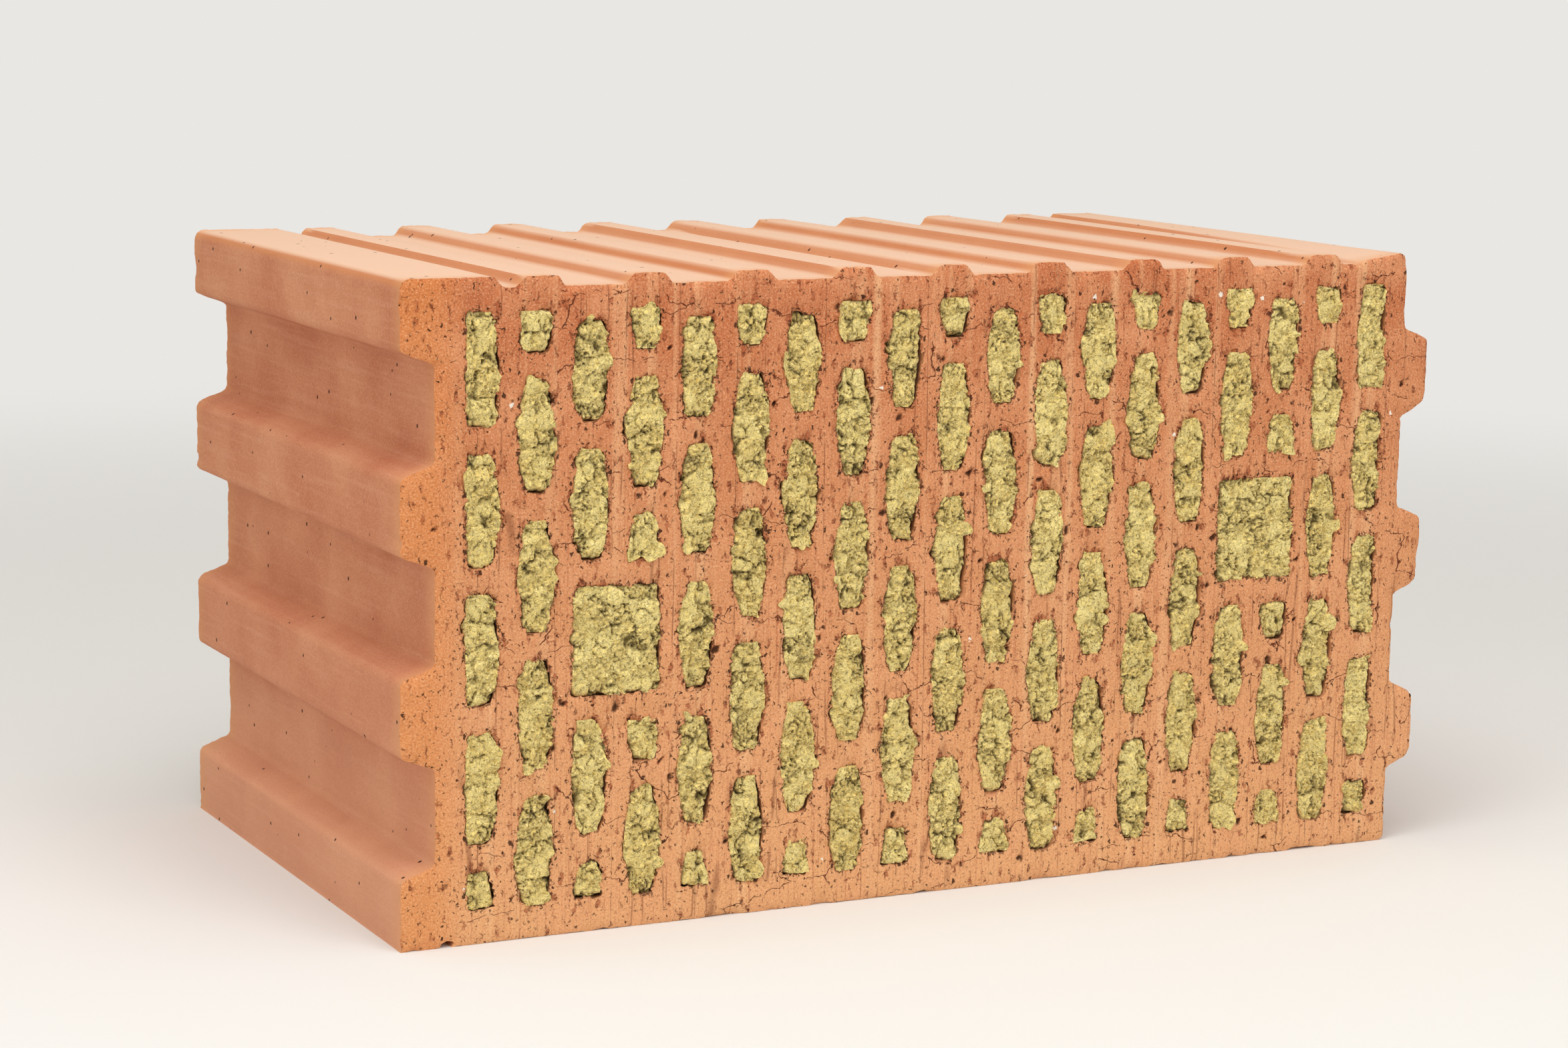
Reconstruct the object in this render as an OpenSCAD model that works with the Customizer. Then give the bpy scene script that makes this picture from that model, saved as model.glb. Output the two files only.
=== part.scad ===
// Insulated clay brick: an extruded block with staggered barrel-shaped cells, each filled with mineral wool.
// X runs along the wall, from the grooved end to the tongued end. Y runs along the cells. Z is up.
// The origin is the middle of the bottom of the overall box.

/* [Block] */
// Length from the ribs of the grooved end to the face that carries the tongues
length = 440; // [380:1:500]
// Height over the ribs on top
height = 248; // [235:1:300]
// Depth along the cells
depth = 249; // [100:1:300]
// Radius of the two upper long edges
top_edge_r = 4; // [1:0.5:6]
// Radius of the two lower long edges
bottom_edge_r = 2.5; // [1:0.5:4]

/* [Cells] */
// Spacing of the columns of cells
column_pitch = 21.8; // [20:0.1:26]
// Length of a whole cell
cell_long = 42; // [34:0.5:46]
// Length of the part cell that closes each column
cell_short = 15.8; // [12:0.1:18]
// Width of a cell at its middle
cell_mid = 15.6; // [12:0.1:16.5]
// Width of a cell at its ends
cell_end = 10.4; // [7:0.1:11.5]
// Clay between two cells of a column
web = 9.8; // [6:0.1:12]
// Least clay between the cells and the two ends
end_wall = 9.5; // [7:0.5:14]
// Offset of the cells from the middle, towards the tongues
cell_shift = 0.65; // [-1:0.05:1]
// Least clay under and over the cells
shell = 11.5; // [8:0.5:16]

/* [Grip holes] */
// Width of a grip hole, over two columns
grip_w = 36.6; // [34:0.1:38]
// Corner radius of a grip hole
grip_r = 3; // [1:0.5:6]
// Columns between a grip hole and the end of the block
grip_inset = 2; // [1:1:4]

/* [Top ribs] */
// Spacing of the ribs
rib_pitch = 42.9; // [36:0.1:46]
// Height of a rib
rib_h = 4; // [2:0.5:6]
// Width of a rib at its foot
rib_foot = 19.5; // [16:0.5:22]
// Width of a rib at its top
rib_top = 12.5; // [9:0.5:15]
// Width of the flat land over the grooved end
land_grooved = 36.5; // [30:0.5:38]
// Width of the flat land over the tongued end
land_tongued = 23; // [14:0.5:25]
// Edge radius of ribs and lands
rib_r = 1.5; // [0.5:0.1:1.8]

/* [Tongues and grooves] */
// Number of tongues, and of grooves
joint_count = 3; // [1:1:3]
// Spacing of the tongues and of the grooves
joint_pitch = 74.5; // [66:0.5:76]
// Depth of a groove
groove_depth = 13.5; // [9:0.5:16]
// Height of a groove at its mouth
groove_mouth = 46; // [44:0.5:50]
// Height of a groove at its floor
groove_floor = 36; // [32:0.5:40]
// Reach of a tongue
tongue_reach = 12; // [8:0.5:14]
// Height of a tongue at its root
tongue_root = 37; // [32:0.5:42]
// Height of a tongue at its tip
tongue_tip = 27; // [22:0.5:30]
// Radius of the outer edges of ribs and tongues
joint_edge_r = 3; // [1:0.5:4]
// Radius in the inner corners
joint_root_r = 2.5; // [1:0.5:4]

/* [Drip notch] */
// Distance of the notch from the grooved end
notch_x = 16; // [8:0.5:30]
// Width of the notch at its mouth
notch_w = 5.5; // [4:0.5:8]
// Height of the notch
notch_h = 2; // [1:0.5:4]

/* [Wool] */
// Clearance between the wool and the clay around it
wool_gap = 0.3; // [0.1:0.1:0.8]
// How far the wool lies behind the cut faces
wool_recess = 2; // [0:0.5:6]

/* [Hidden] */
$fn = 180;
// Straight points that stand for one rounded corner of an outline
arc_steps = 5;
// Slope of the notch's sides and the radius of its edges
notch_slope = 1;
notch_r = 0.5;
// A part cell that would be shorter than this is left out
cell_least = 8;

overall_x = length + tongue_reach;

// The straight outer side of the first and last column lies halfway between a cell's middle and end width
outer_half = (cell_mid + cell_end) / 4;
bulge = (cell_mid - cell_end) / 2;
side_r = (pow(cell_long / 2, 2) + pow(bulge, 2)) / (2 * bulge);

// The columns fill the length between the groove floors and the tongued face, and are centred there
field_l = length - groove_depth;
columns = floor((field_l - 2 * end_wall - 2 * outer_half) / column_pitch) + 1;
field_mid = groove_depth + field_l / 2;
first_x = field_mid + cell_shift - (columns - 1) * column_pitch / 2;

// A column is a number of whole cells and one part cell, and is centred in the height
row_pitch = cell_long + web;
rows = floor((height - 2 * shell - cell_short) / row_pitch);
field_h = rows * row_pitch + cell_short;
field_bottom = (height - field_h) / 2;
field_top = field_bottom + field_h;

valley = height - rib_h;
rib_slope = (rib_foot - rib_top) / 2;
land_end_x = length - land_tongued;

function column_x(c) = first_x + c * column_pitch;
function is_even(c) = c % 2 == 0;

// Even columns stand under the valleys of the top, so their upper cell is lower by the height of a rib
function under_valley(c) = is_even(c) && c > 0 && c < columns - 1;
function roof(c) = field_top - (under_valley(c) ? rib_h : 0);

// Top of whole cell i: even columns start with a whole cell, odd ones with the part cell, which is i = -1
function cell_top(c, i) = field_top - i * row_pitch - (is_even(c) ? 0 : cell_short + web);

// Cells of a plain column, from the top, each as [bottom, top, middle of its whole barrel]
function plain_cells(c) = [
    for (i = [is_even(c) ? 0 : -1 : is_even(c) ? rows : rows - 1])
        let (top = cell_top(c, i))
            [max(top - cell_long, field_bottom), min(top, roof(c)), top - cell_long / 2]
];

// A grip hole takes the place of one whole cell, over its own and the next column, as [column, bottom, top]
function grip_at(c, i) = [c, cell_top(c, i) - cell_long, cell_top(c, i)];
grip_left = grip_at(grip_inset, 2);
grip_right = grip_at(columns - grip_inset - 2, 1);
grips = [grip_left, grip_right];

// What a grip hole and its webs leave of a cell
function beside_grip(s, g) = [
    for (p = [[max(s[0], g[2] + web), s[1]], [s[0], min(s[1], g[1] - web)]])
        if (p[1] - p[0] >= cell_least) [p[0], p[1], s[2]]
];
function grip_over(c) = [for (g = grips) if (c == g[0] || c == g[0] + 1) g];
function cells(c) = len(grip_over(c)) == 0
    ? plain_cells(c)
    : [for (s = plain_cells(c)) each beside_grip(s, grip_over(c)[0])];

function unit(v) = v / norm(v);

// Points of the rounded corner b between a and c. The radius is b's third number, and the walls limit it
function corner(a, b, c) =
    let (
        p = [b[0], b[1]],
        u = unit([a[0], a[1]] - p),
        v = unit([c[0], c[1]] - p),
        half = acos(u * v) / 2,
        wall = min(norm([a[0], a[1]] - p), norm([c[0], c[1]] - p)),
        cut = min(b[2] / tan(half), 0.45 * wall),
        r = cut * tan(half),
        mid = p + unit(u + v) * r / sin(half),
        from = p + u * cut - mid,
        to = p + v * cut - mid
    )
    [for (k = [0 : arc_steps]) mid + r * unit(from * (1 - k / arc_steps) + to * (k / arc_steps))];

function rounded(pts) = [
    for (i = [0 : len(pts) - 1])
        each corner(pts[(i + len(pts) - 1) % len(pts)], pts[i], pts[(i + 1) % len(pts)])
];

// Middle heights of the tongues and grooves, from the bottom
joint_heights = [
    for (k = [0 : joint_count - 1]) height / 2 + (k - (joint_count - 1) / 2) * joint_pitch
];

// Middles of the top ribs, which are centred on the field and fill it between the two lands
ribs_each_way = floor(min(
    field_mid - land_grooved - rib_slope - rib_foot / 2,
    land_end_x - rib_slope - rib_foot / 2 - field_mid
) / rib_pitch);
rib_places = [for (k = [-ribs_each_way : ribs_each_way]) field_mid + k * rib_pitch];

bottom_side = [
    [0, 0, bottom_edge_r],
    [notch_x, 0, notch_r],
    [notch_x + notch_slope, notch_h, notch_r],
    [notch_x + notch_w - notch_slope, notch_h, notch_r],
    [notch_x + notch_w, 0, notch_r],
    [length, 0, bottom_edge_r]
];

tongue_side = [
    for (z = joint_heights)
        each [
            [length, z - tongue_root / 2, joint_root_r],
            [overall_x, z - tongue_tip / 2, joint_edge_r],
            [overall_x, z + tongue_tip / 2, joint_edge_r],
            [length, z + tongue_root / 2, joint_root_r]
        ]
];

top_side = [
    [length, height, top_edge_r],
    [land_end_x, height, rib_r],
    [land_end_x - rib_slope, valley, rib_r],
    for (i = [len(rib_places) - 1 : -1 : 0])
        let (x = rib_places[i])
            each [
                [x + rib_foot / 2, valley, rib_r],
                [x + rib_top / 2, height, rib_r],
                [x - rib_top / 2, height, rib_r],
                [x - rib_foot / 2, valley, rib_r]
            ],
    [land_grooved + rib_slope, valley, rib_r],
    [land_grooved, height, rib_r],
    [0, height, top_edge_r]
];

groove_side = [
    for (i = [joint_count - 1 : -1 : 0])
        let (z = joint_heights[i])
            each [
                [0, z + groove_mouth / 2, joint_edge_r],
                [groove_depth, z + groove_floor / 2, joint_root_r],
                [groove_depth, z - groove_floor / 2, joint_root_r],
                [0, z - groove_mouth / 2, joint_edge_r]
            ]
];

function wool_name(c) = str("wool_column_", c < 9 ? "0" : "", c + 1);

// Carries a section drawn in X and Z along the depth, short of each cut face by the recess
module along_depth(recess = 0) {
    rotate([90, 0, 0])
        linear_extrude(height = depth - 2 * recess, center = true)
            translate([-overall_x / 2, 0])
                children();
}

// A cell's section: a barrel with two arc sides, or one arc and a straight side in the outer columns
module cell_section(c, s, gap = 0) {
    x = column_x(c);
    left = c == 0 ? outer_half : cell_mid;
    right = c == columns - 1 ? outer_half : cell_mid;
    reach = side_r - cell_mid / 2;
    intersection() {
        translate([x - left + gap, s[0] + gap])
            square([left + right - 2 * gap, s[1] - s[0] - 2 * gap]);
        translate([x + reach - (c == 0 ? cell_mid : 0), s[2]])
            circle(side_r - gap);
        translate([x - reach + (c == columns - 1 ? cell_mid : 0), s[2]])
            circle(side_r - gap);
    }
}

// A grip hole's section, centred over its two columns
module grip_section(g, gap = 0) {
    x = column_x(g[0]) + column_pitch / 2;
    half = grip_w / 2 - gap;
    r = grip_r - gap;
    polygon(rounded([
        [x - half, g[1] + gap, r],
        [x + half, g[1] + gap, r],
        [x + half, g[2] - gap, r],
        [x - half, g[2] - gap, r]
    ]));
}

// The fired clay body
module clay_block() {
    color("peru")
        along_depth()
            difference() {
                polygon(rounded(concat(bottom_side, tongue_side, top_side, groove_side)));
                for (c = [0 : columns - 1])
                    for (s = cells(c))
                        cell_section(c, s);
                for (g = grips)
                    grip_section(g);
            }
}

// The wool tufts of one column of cells
module wool_column(c) {
    color("darkkhaki")
        for (s = cells(c))
            along_depth(wool_recess)
                cell_section(c, s, wool_gap);
}

// The wool tuft of one grip hole
module wool_grip(g) {
    color("darkkhaki")
        along_depth(wool_recess)
            grip_section(g, wool_gap);
}

clay_block();
for (c = [0 : columns - 1])
    wool_column(c);
wool_grip(grip_left);  // wool_grip_left
wool_grip(grip_right);  // wool_grip_right
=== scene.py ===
"""A large clay brick whose cells are filled with mineral wool, lying on a pale studio floor."""
import math

import bpy
import numpy as np
from mathutils import Matrix, Vector


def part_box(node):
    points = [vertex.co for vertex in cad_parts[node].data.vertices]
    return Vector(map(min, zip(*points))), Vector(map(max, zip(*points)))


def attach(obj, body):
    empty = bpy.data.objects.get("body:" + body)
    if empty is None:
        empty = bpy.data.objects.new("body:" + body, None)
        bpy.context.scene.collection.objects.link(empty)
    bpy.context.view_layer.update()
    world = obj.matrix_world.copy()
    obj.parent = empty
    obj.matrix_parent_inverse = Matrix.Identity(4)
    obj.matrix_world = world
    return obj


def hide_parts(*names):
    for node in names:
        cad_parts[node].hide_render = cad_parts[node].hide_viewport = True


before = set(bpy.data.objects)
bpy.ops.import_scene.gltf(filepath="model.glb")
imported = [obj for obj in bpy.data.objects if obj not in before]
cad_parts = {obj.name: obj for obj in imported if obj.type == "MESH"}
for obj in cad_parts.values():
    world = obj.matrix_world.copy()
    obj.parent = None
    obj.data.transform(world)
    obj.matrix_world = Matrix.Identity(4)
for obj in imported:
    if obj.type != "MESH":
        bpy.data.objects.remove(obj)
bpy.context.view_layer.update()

# Camera
# A long lens a metre and a half away, to the left of the brick and a little above it, so that the grooved
# side, the cut face and a thin slice of the ribbed top all show.
camera_place = Vector((-0.6616, -1.3062, 0.3578))
camera_heading = -26.531
camera_tilt = 81.103
camera_roll = 0.874
camera_data = bpy.data.cameras.new("camera")
camera_data.sensor_width = 36.0
camera_data.lens = 80.77
camera = bpy.data.objects.new("camera", camera_data)
camera.matrix_world = (
    Matrix.Translation(camera_place)
    @ Matrix.Rotation(math.radians(camera_heading), 4, "Z")
    @ Matrix.Rotation(math.radians(camera_tilt), 4, "X")
    @ Matrix.Rotation(math.radians(camera_roll), 4, "Z")
)
bpy.context.collection.objects.link(camera)
bpy.context.scene.camera = camera
bpy.context.scene.view_settings.view_transform = "Standard"

# Clay body
# One block of fired brick clay. The clay leaves the die as a column with its cells, ribs, tongues and
# grooves already in it. Wires then cut it to length, which tears and drags the two cut faces, and it is
# fired whole.
mm = 0.001
clay_low, clay_high = (np.array(corner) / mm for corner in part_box("clay_block"))
clay_mid = (clay_low + clay_high) / 2
clay_step = 1.4
same_place = 0.01
burst_pitch = 24.0
burst_least = 0.8
burst_more = 1.1
burst_deep = 1.8
burst_share = 0.46
rim_jitter = 0.55
arris_jitter = 0.1


def cut_face(node):
    """The outline of an extruded node in its front cut face, in mm. Of each side-wall triangle with two
    corners in that face the edge between them is kept, as a start and an end point (x, z). Each edge takes
    the lowest edge number met on the way round its closed loop, looking twice as far ahead each time."""
    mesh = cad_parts[node].data
    mesh.calc_loop_triangles()
    place = np.empty(3 * len(mesh.vertices))
    mesh.vertices.foreach_get("co", place)
    place = place.reshape(-1, 3) / mm
    corners = np.empty(3 * len(mesh.loop_triangles), int)
    mesh.loop_triangles.foreach_get("vertices", corners)
    corners = corners.reshape(-1, 3)
    in_face = place[corners, 1] < place[:, 1].min() + same_place
    wall = in_face.sum(axis=1) == 2
    corners = corners[wall]
    rear = np.argmin(in_face[wall], axis=1)
    row = np.arange(len(corners))
    start = place[corners[row, (rear + 1) % 3]][:, [0, 2]]
    end = place[corners[row, (rear + 2) % 3]][:, [0, 2]]
    start_key, end_key = (np.rint(p / same_place).astype(int) @ (1_000_000, 1) for p in (start, end))
    order = np.argsort(start_key)
    ahead = order[np.searchsorted(start_key[order], end_key)]
    loop = row
    for _ in range(math.ceil(math.log2(len(row)))):
        loop = np.minimum(loop, loop[ahead])
        ahead = ahead[ahead]
    return start, end, loop


def signed_gap(x, z, start, end, block=2000):
    """How far each place lies inside the clay, in mm: the distance to the nearest edge of the outline, below
    zero where a line towards +x crosses the outline an even number of times. Also the nearest edge's number.
    The places are taken a block at a time to spare memory."""
    along = end - start
    span = (along**2).sum(axis=1)
    slant = along[:, 0] / np.where(along[:, 1] == 0, 1, along[:, 1])
    gap, nearest = [], []
    for first in range(0, x.size, block):
        px = x.ravel()[first:first + block, None] - start[:, 0]
        pz = z.ravel()[first:first + block, None] - start[:, 1]
        part = np.clip((px * along[:, 0] + pz * along[:, 1]) / span, 0, 1)
        away = (px - part * along[:, 0])**2 + (pz - part * along[:, 1])**2
        crossed = ((pz < 0) != (pz < along[:, 1])) & (pz * slant > px)
        closest = away.argmin(axis=1)
        distance = np.sqrt(away[np.arange(len(away)), closest])
        gap.append(np.where(crossed.sum(axis=1) % 2 == 1, distance, -distance))
        nearest.append(closest)
    return np.concatenate(gap).reshape(x.shape), np.concatenate(nearest).reshape(x.shape)


def lot(i, j, seed):
    """A fixed random number from 0 to 1 for each pair of whole numbers: the pair and the seed times large
    primes, with the high bits folded onto the low ones twice."""
    bits = (i * 374761393 + j * 668265263 + seed * 974634407) & 0xFFFFFFFF
    bits = ((bits ^ (bits >> 13)) * 1274126177) & 0xFFFFFFFF
    return ((bits ^ (bits >> 16)) & 0xFFFFFF) / 0x1000000


def drift(a, b, size, seed):
    """Smooth noise from -1 to 1: a random value at each corner of a square lattice of that size, blended
    between the corners by the curve 3t2 - 2t3 each way."""
    a, b = a / size, b / size
    i, j = np.floor(a).astype(int), np.floor(b).astype(int)
    s, t = a - i, b - j
    s, t = s * s * (3 - 2 * s), t * t * (3 - 2 * t)
    low = lot(i, j, seed) * (1 - s) + lot(i + 1, j, seed) * s
    high = lot(i, j + 1, seed) * (1 - s) + lot(i + 1, j + 1, seed) * s
    return 2 * (low * (1 - t) + high * t) - 1


def torn_cell(x, z):
    """How far a cell's rim is torn back by the cutting wire, in mm: a slow bulge, a crumbly edge at two
    finer sizes, and here and there a chip where a slow noise rises past a level. Below zero it's a burr
    that the wire dragged over the cell, as it mostly is."""
    bulge = 0.45 * drift(x, z, 9.0, 11) - 0.4
    crumble = 0.5 * drift(x, z, 3.4, 12) + 0.6 * drift(x, z, 1.6, 13)
    chip = 4.4 * np.maximum(drift(x, z, 7.5, 14) - 0.42, 0)
    return bulge + crumble + chip


# In mm: half a whole cell's length, the width past which a hole is a grip hole, how far the clay leans in
# over the rims, the height below which a cell is in the lowest row, and the radius of a cell's corners.
cell_half = 21.0
cell_widest = 20.0
lean_most = 0.75
lean_top = 0.7
lean_bottom = -0.3
lean_lowest = 0.9
lowest_row = clay_low[2] + 32
corner_round = 3.0


def rounded(away):
    """How far a round corner stands in from a straight side, in mm, this far from where the corner was."""
    return corner_round - np.sqrt(corner_round**2 - np.clip(corner_round - away, 0, corner_round)**2)


def lean_of_side(from_end):
    """How far the dragged clay leans in over a cell's side, in mm, at a distance from the cell's end: a
    parabola with its top at the end, which comes down to nothing half-way up a whole cell, and the round
    corner."""
    return lean_most * (1 - np.clip(from_end / cell_half, 0, 1)**2) + rounded(from_end)


def lean_of_rim(x, z, start, end, loop, nearest):
    """How far the dragged clay leans in over the rim nearest to each place, in mm. A cell's level ends have
    a lean of their own, rounded towards their two corners. The short cells at the bottom, where the clay
    was squeezed, have more all round, and the wide grip holes have none."""
    _, cell = np.unique(loop, return_inverse=True)
    low, high = np.full((2, cell.max() + 1, 2), [[[np.inf]], [[-np.inf]]])
    np.minimum.at(low, cell, start)
    np.maximum.at(high, cell, start)
    low, high = low[cell][nearest], high[cell][nearest]
    from_bottom, from_top = z - low[..., 1], high[..., 1] - z
    side = lean_of_side(np.minimum(from_bottom, from_top))
    from_corner = np.minimum(np.abs(x - start[nearest, 0]), np.abs(x - end[nearest, 0]))
    level = np.where(from_top < from_bottom, lean_top, lean_bottom) + rounded(from_corner)
    is_level = np.abs(start[:, 1] - end[:, 1]) < same_place
    is_narrow = high[..., 0] - low[..., 0] < cell_widest
    squeezed = lean_lowest * (high[..., 1] < lowest_row)
    return (np.where(is_level[nearest], level, side) + squeezed) * is_narrow


def torn_arris(x, z):
    """How far the outer edge of a cut face is worn back, in mm: a fine crumble and a few chips."""
    crumble = 0.15 + 0.15 * drift(x, z, 2.6, 15)
    chip = 2.6 * np.maximum(drift(x, z, 8.0, 16) - 0.55, 0)
    return crumble + chip


def pebbles(a, b, size, seed):
    """A pattern of cells: one point dropped at random in each square of a lattice of that size. For each
    place the way to its nearest point, across and up, how much further off the next nearest is, all in
    lattice squares, and the nearest point's own number."""
    a, b = a / size, b / size
    i, j = np.floor(a).astype(int), np.floor(b).astype(int)
    first = np.full(a.shape, 9.0)
    second = np.full(a.shape, 9.0)
    near_a, near_b, tag = np.zeros((3, *a.shape))
    for right in (-1, 0, 1):
        for higher in (-1, 0, 1):
            u, v = i + right, j + higher
            to_a, to_b = u + lot(u, v, seed) - a, v + lot(u, v, seed + 1) - b
            away = np.hypot(to_a, to_b)
            nearer = away < first
            second = np.where(nearer, first, np.minimum(second, away))
            first = np.minimum(first, away)
            near_a, near_b = np.where(nearer, to_a, near_a), np.where(nearer, to_b, near_b)
            tag = np.where(nearer, lot(u, v, seed + 2), tag)
    return near_a, near_b, second - first, tag


def burst(x, z, seed):
    """Small holes where a stone or a lump was torn out, from 0 to 1 at the bottom: in a share of the cells
    of a cell pattern a hollow round its point, on bent axes and of its own width."""
    bent_x = x + 1.2 * drift(x, z, 2.1, seed)
    bent_z = z + 1.2 * drift(x, z, 2.1, seed + 1)
    across, up, _, tag = pebbles(bent_x, bent_z, burst_pitch, seed + 2)
    reach = burst_least + burst_more * (23 * tag % 1)
    return np.clip(1.3 - burst_pitch * np.hypot(across, up) / reach, 0, 1) * (tag > 1 - burst_share)


def cut_relief(x, z, gap, over, lip, seed):
    """How deep a cut face lies below the wire's plane, in mm: a slow wave, ripples drawn out along z, dents
    torn out beside the rims, most of them over a cell, with a rough floor, and an arris rounded by the
    lip."""
    wave = 0.2 + 0.2 * drift(x, z, 42.0, seed)
    ripple = 0.1 + 0.1 * drift(x, z / 14, 3.2, seed + 1)
    beside = np.maximum(gap, 0)
    dent = np.maximum(drift(x, z, 4.6, seed + 2) - 0.3 + 0.35 * over, 0)
    dent = dent * np.exp(-beside / 3)
    rough = 0.3 * over * (1 + drift(x, z, 2.2, seed + 3))
    rounding = lip * np.exp(-beside / (1.8 * lip))
    return wave + ripple + 2.2 * dent + rough + rounding


def rim_edges(triangles, count):
    """The edges that only one triangle has, in that triangle's direction: those with no reverse."""
    edges = np.concatenate([triangles[:, [0, 1]], triangles[:, [1, 2]], triangles[:, [2, 0]]])
    return edges[~np.isin(edges @ (count, 1), edges @ (1, count))]


def flat_faces(start, end, loop):
    """The cut face as triangles. A square lattice is laid over the outline. Of each lattice line that
    crosses the outline the nearer end moves onto it, along the slope of the distance. Each square is split
    into two triangles, and those with no corner outside the clay stay. Each lattice point's tear has a
    jitter of its own, which makes the rims jagged. Triangles round a point where two rims meet are left
    out."""
    across = np.arange(clay_low[0] - clay_step, clay_high[0] + 2 * clay_step, clay_step)
    up = np.arange(clay_low[2] - clay_step, clay_high[2] + 2 * clay_step, clay_step)
    x, z = np.meshgrid(across, up, indexing="ij")
    whole_gap, nearest = signed_gap(x, z, start, end)
    outer = loop == loop[np.argmin(start[:, 0])]
    at_cell = ~outer[nearest]
    lean = lean_of_rim(x, z, start, end, loop, nearest)
    torn = np.where(at_cell, torn_cell(x, z) - lean, torn_arris(x, z))
    torn += np.where(at_cell, rim_jitter, arris_jitter) * (2 * lot(*np.indices(x.shape), 17) - 1)
    gap = whole_gap - torn
    slope_x, slope_z = np.gradient(gap, clay_step)
    steep = np.hypot(slope_x, slope_z) + 1e-6
    on_rim = np.zeros(gap.shape, bool)
    for right, higher in ((1, 0), (0, 1), (1, 1)):
        near = (slice(0, gap.shape[0] - right), slice(0, gap.shape[1] - higher))
        far = (slice(right, None), slice(higher, None))
        crossed = (gap[near] > 0) != (gap[far] > 0)
        closer = np.abs(gap[near]) <= np.abs(gap[far])
        on_rim[near] |= crossed & closer
        on_rim[far] |= crossed & ~closer
    furthest = 0.7 * clay_step
    move = np.where(on_rim, np.clip(gap / np.maximum(steep, 0.9), -furthest, furthest), 0)
    torn = whole_gap - move
    x = x - move * slope_x / steep
    z = z - move * slope_z / steep
    number = np.arange(gap.size).reshape(gap.shape)
    a, b, c, d = number[:-1, :-1], number[1:, :-1], number[1:, 1:], number[:-1, 1:]
    triangles = np.concatenate([np.stack(t, axis=-1).reshape(-1, 3) for t in ((a, b, c), (a, c, d))])
    solid = (on_rim | (gap > 0)).ravel()[triangles].all(axis=1)
    all_rim = on_rim.ravel()[triangles].all(axis=1)
    solid &= ~all_rim | (gap.ravel()[triangles].mean(axis=1) > 0)
    triangles = triangles[solid]
    rims_met = np.bincount(rim_edges(triangles, gap.size)[:, 0], minlength=gap.size)
    used, triangles = np.unique(triangles[(rims_met[triangles] < 2).all(axis=1)], return_inverse=True)
    facts = (x, z, np.where(on_rim, 0, gap), torn, at_cell, slope_x / steep, slope_z / steep)
    return [fact.ravel()[used] for fact in facts], triangles.reshape(-1, 3)


tongue_reach = 12.0
land_outer = clay_high[0] - tongue_reach - 3
land_inner = land_outer - 24
land_level = 5.0
land_wear = 3.0
land_fade = 150.0
land_thick = 12.0


def worn_land(x, y, z):
    """How far the land beside the tongues is rubbed down, in mm: most at its inner edge and nothing at its
    outer one, less towards the back, and only near the top."""
    across = np.clip((land_outer - x) / (land_outer - land_inner - land_level), 0, 1) * (x > land_inner)
    back = np.clip(1 - (y - clay_low[1]) / land_fade, 0, 1)
    top = np.clip((z - clay_high[2] + land_thick) / land_thick, 0, 1)
    return land_wear * across * back**2 * top**2


sharp_corner = math.radians(38)


def build(name, points, *faces):
    """A mesh object from points in mm and arrays of faces, one row a face and one column a corner."""
    mesh = bpy.data.meshes.new(name)
    mesh.vertices.add(len(points))
    mesh.vertices.foreach_set("co", (points * mm).ravel())
    corners = np.concatenate([rows.ravel() for rows in faces])
    sides = np.concatenate([np.full(len(rows), rows.shape[1]) for rows in faces])
    mesh.loops.add(len(corners))
    mesh.loops.foreach_set("vertex_index", corners)
    mesh.polygons.add(len(sides))
    mesh.polygons.foreach_set("loop_start", np.cumsum(sides) - sides)
    mesh.polygons.foreach_set("use_smooth", np.ones(len(sides), bool))
    mesh.update(calc_edges=True)
    mesh.validate()
    mesh.set_sharp_from_angle(angle=sharp_corner)
    made = bpy.data.objects.new(name, mesh)
    bpy.context.collection.objects.link(made)
    return made


def paint(made, name, values):
    """One number for each point of a mesh, for its material to read by name."""
    layer = made.data.attributes.new(name, "FLOAT", "POINT")
    layer.data.foreach_set("value", np.asarray(values, np.float32))


(flat_x, flat_z, rim_gap, torn, at_cell, in_x, in_z), front = flat_faces(*cut_face("clay_block"))
flat_count = len(flat_x)
edges = rim_edges(front, flat_count)
over_cell = at_cell * np.maximum(in_z, 0) * np.exp(-np.maximum(rim_gap, 0) / 5)
front_burst, back_burst = (at_cell * burst(flat_x, flat_z, seed) for seed in (25, 35))
cell_lip = 0.35
arris_lip = 0.8
lip = np.where(at_cell, cell_lip, arris_lip)
front_y = clay_low[1] + cut_relief(flat_x, flat_z, rim_gap, over_cell, lip, 21) + burst_deep * front_burst
back_y = clay_high[1] - cut_relief(flat_x, flat_z, rim_gap, over_cell, lip, 31) - burst_deep * back_burst
clay_points = [np.stack((flat_x, y, flat_z), axis=1) for y in (front_y, back_y)]
clay_walls = []
half_depth = (clay_high[1] - clay_low[1]) / 2
cell_rings = (3.2,)
skin_rings = (3.0, 14.0, 36.0, 75.0)
skin_wave = 0.3
skin_wave_length = 38.0
tear_fade = 1.6


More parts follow.
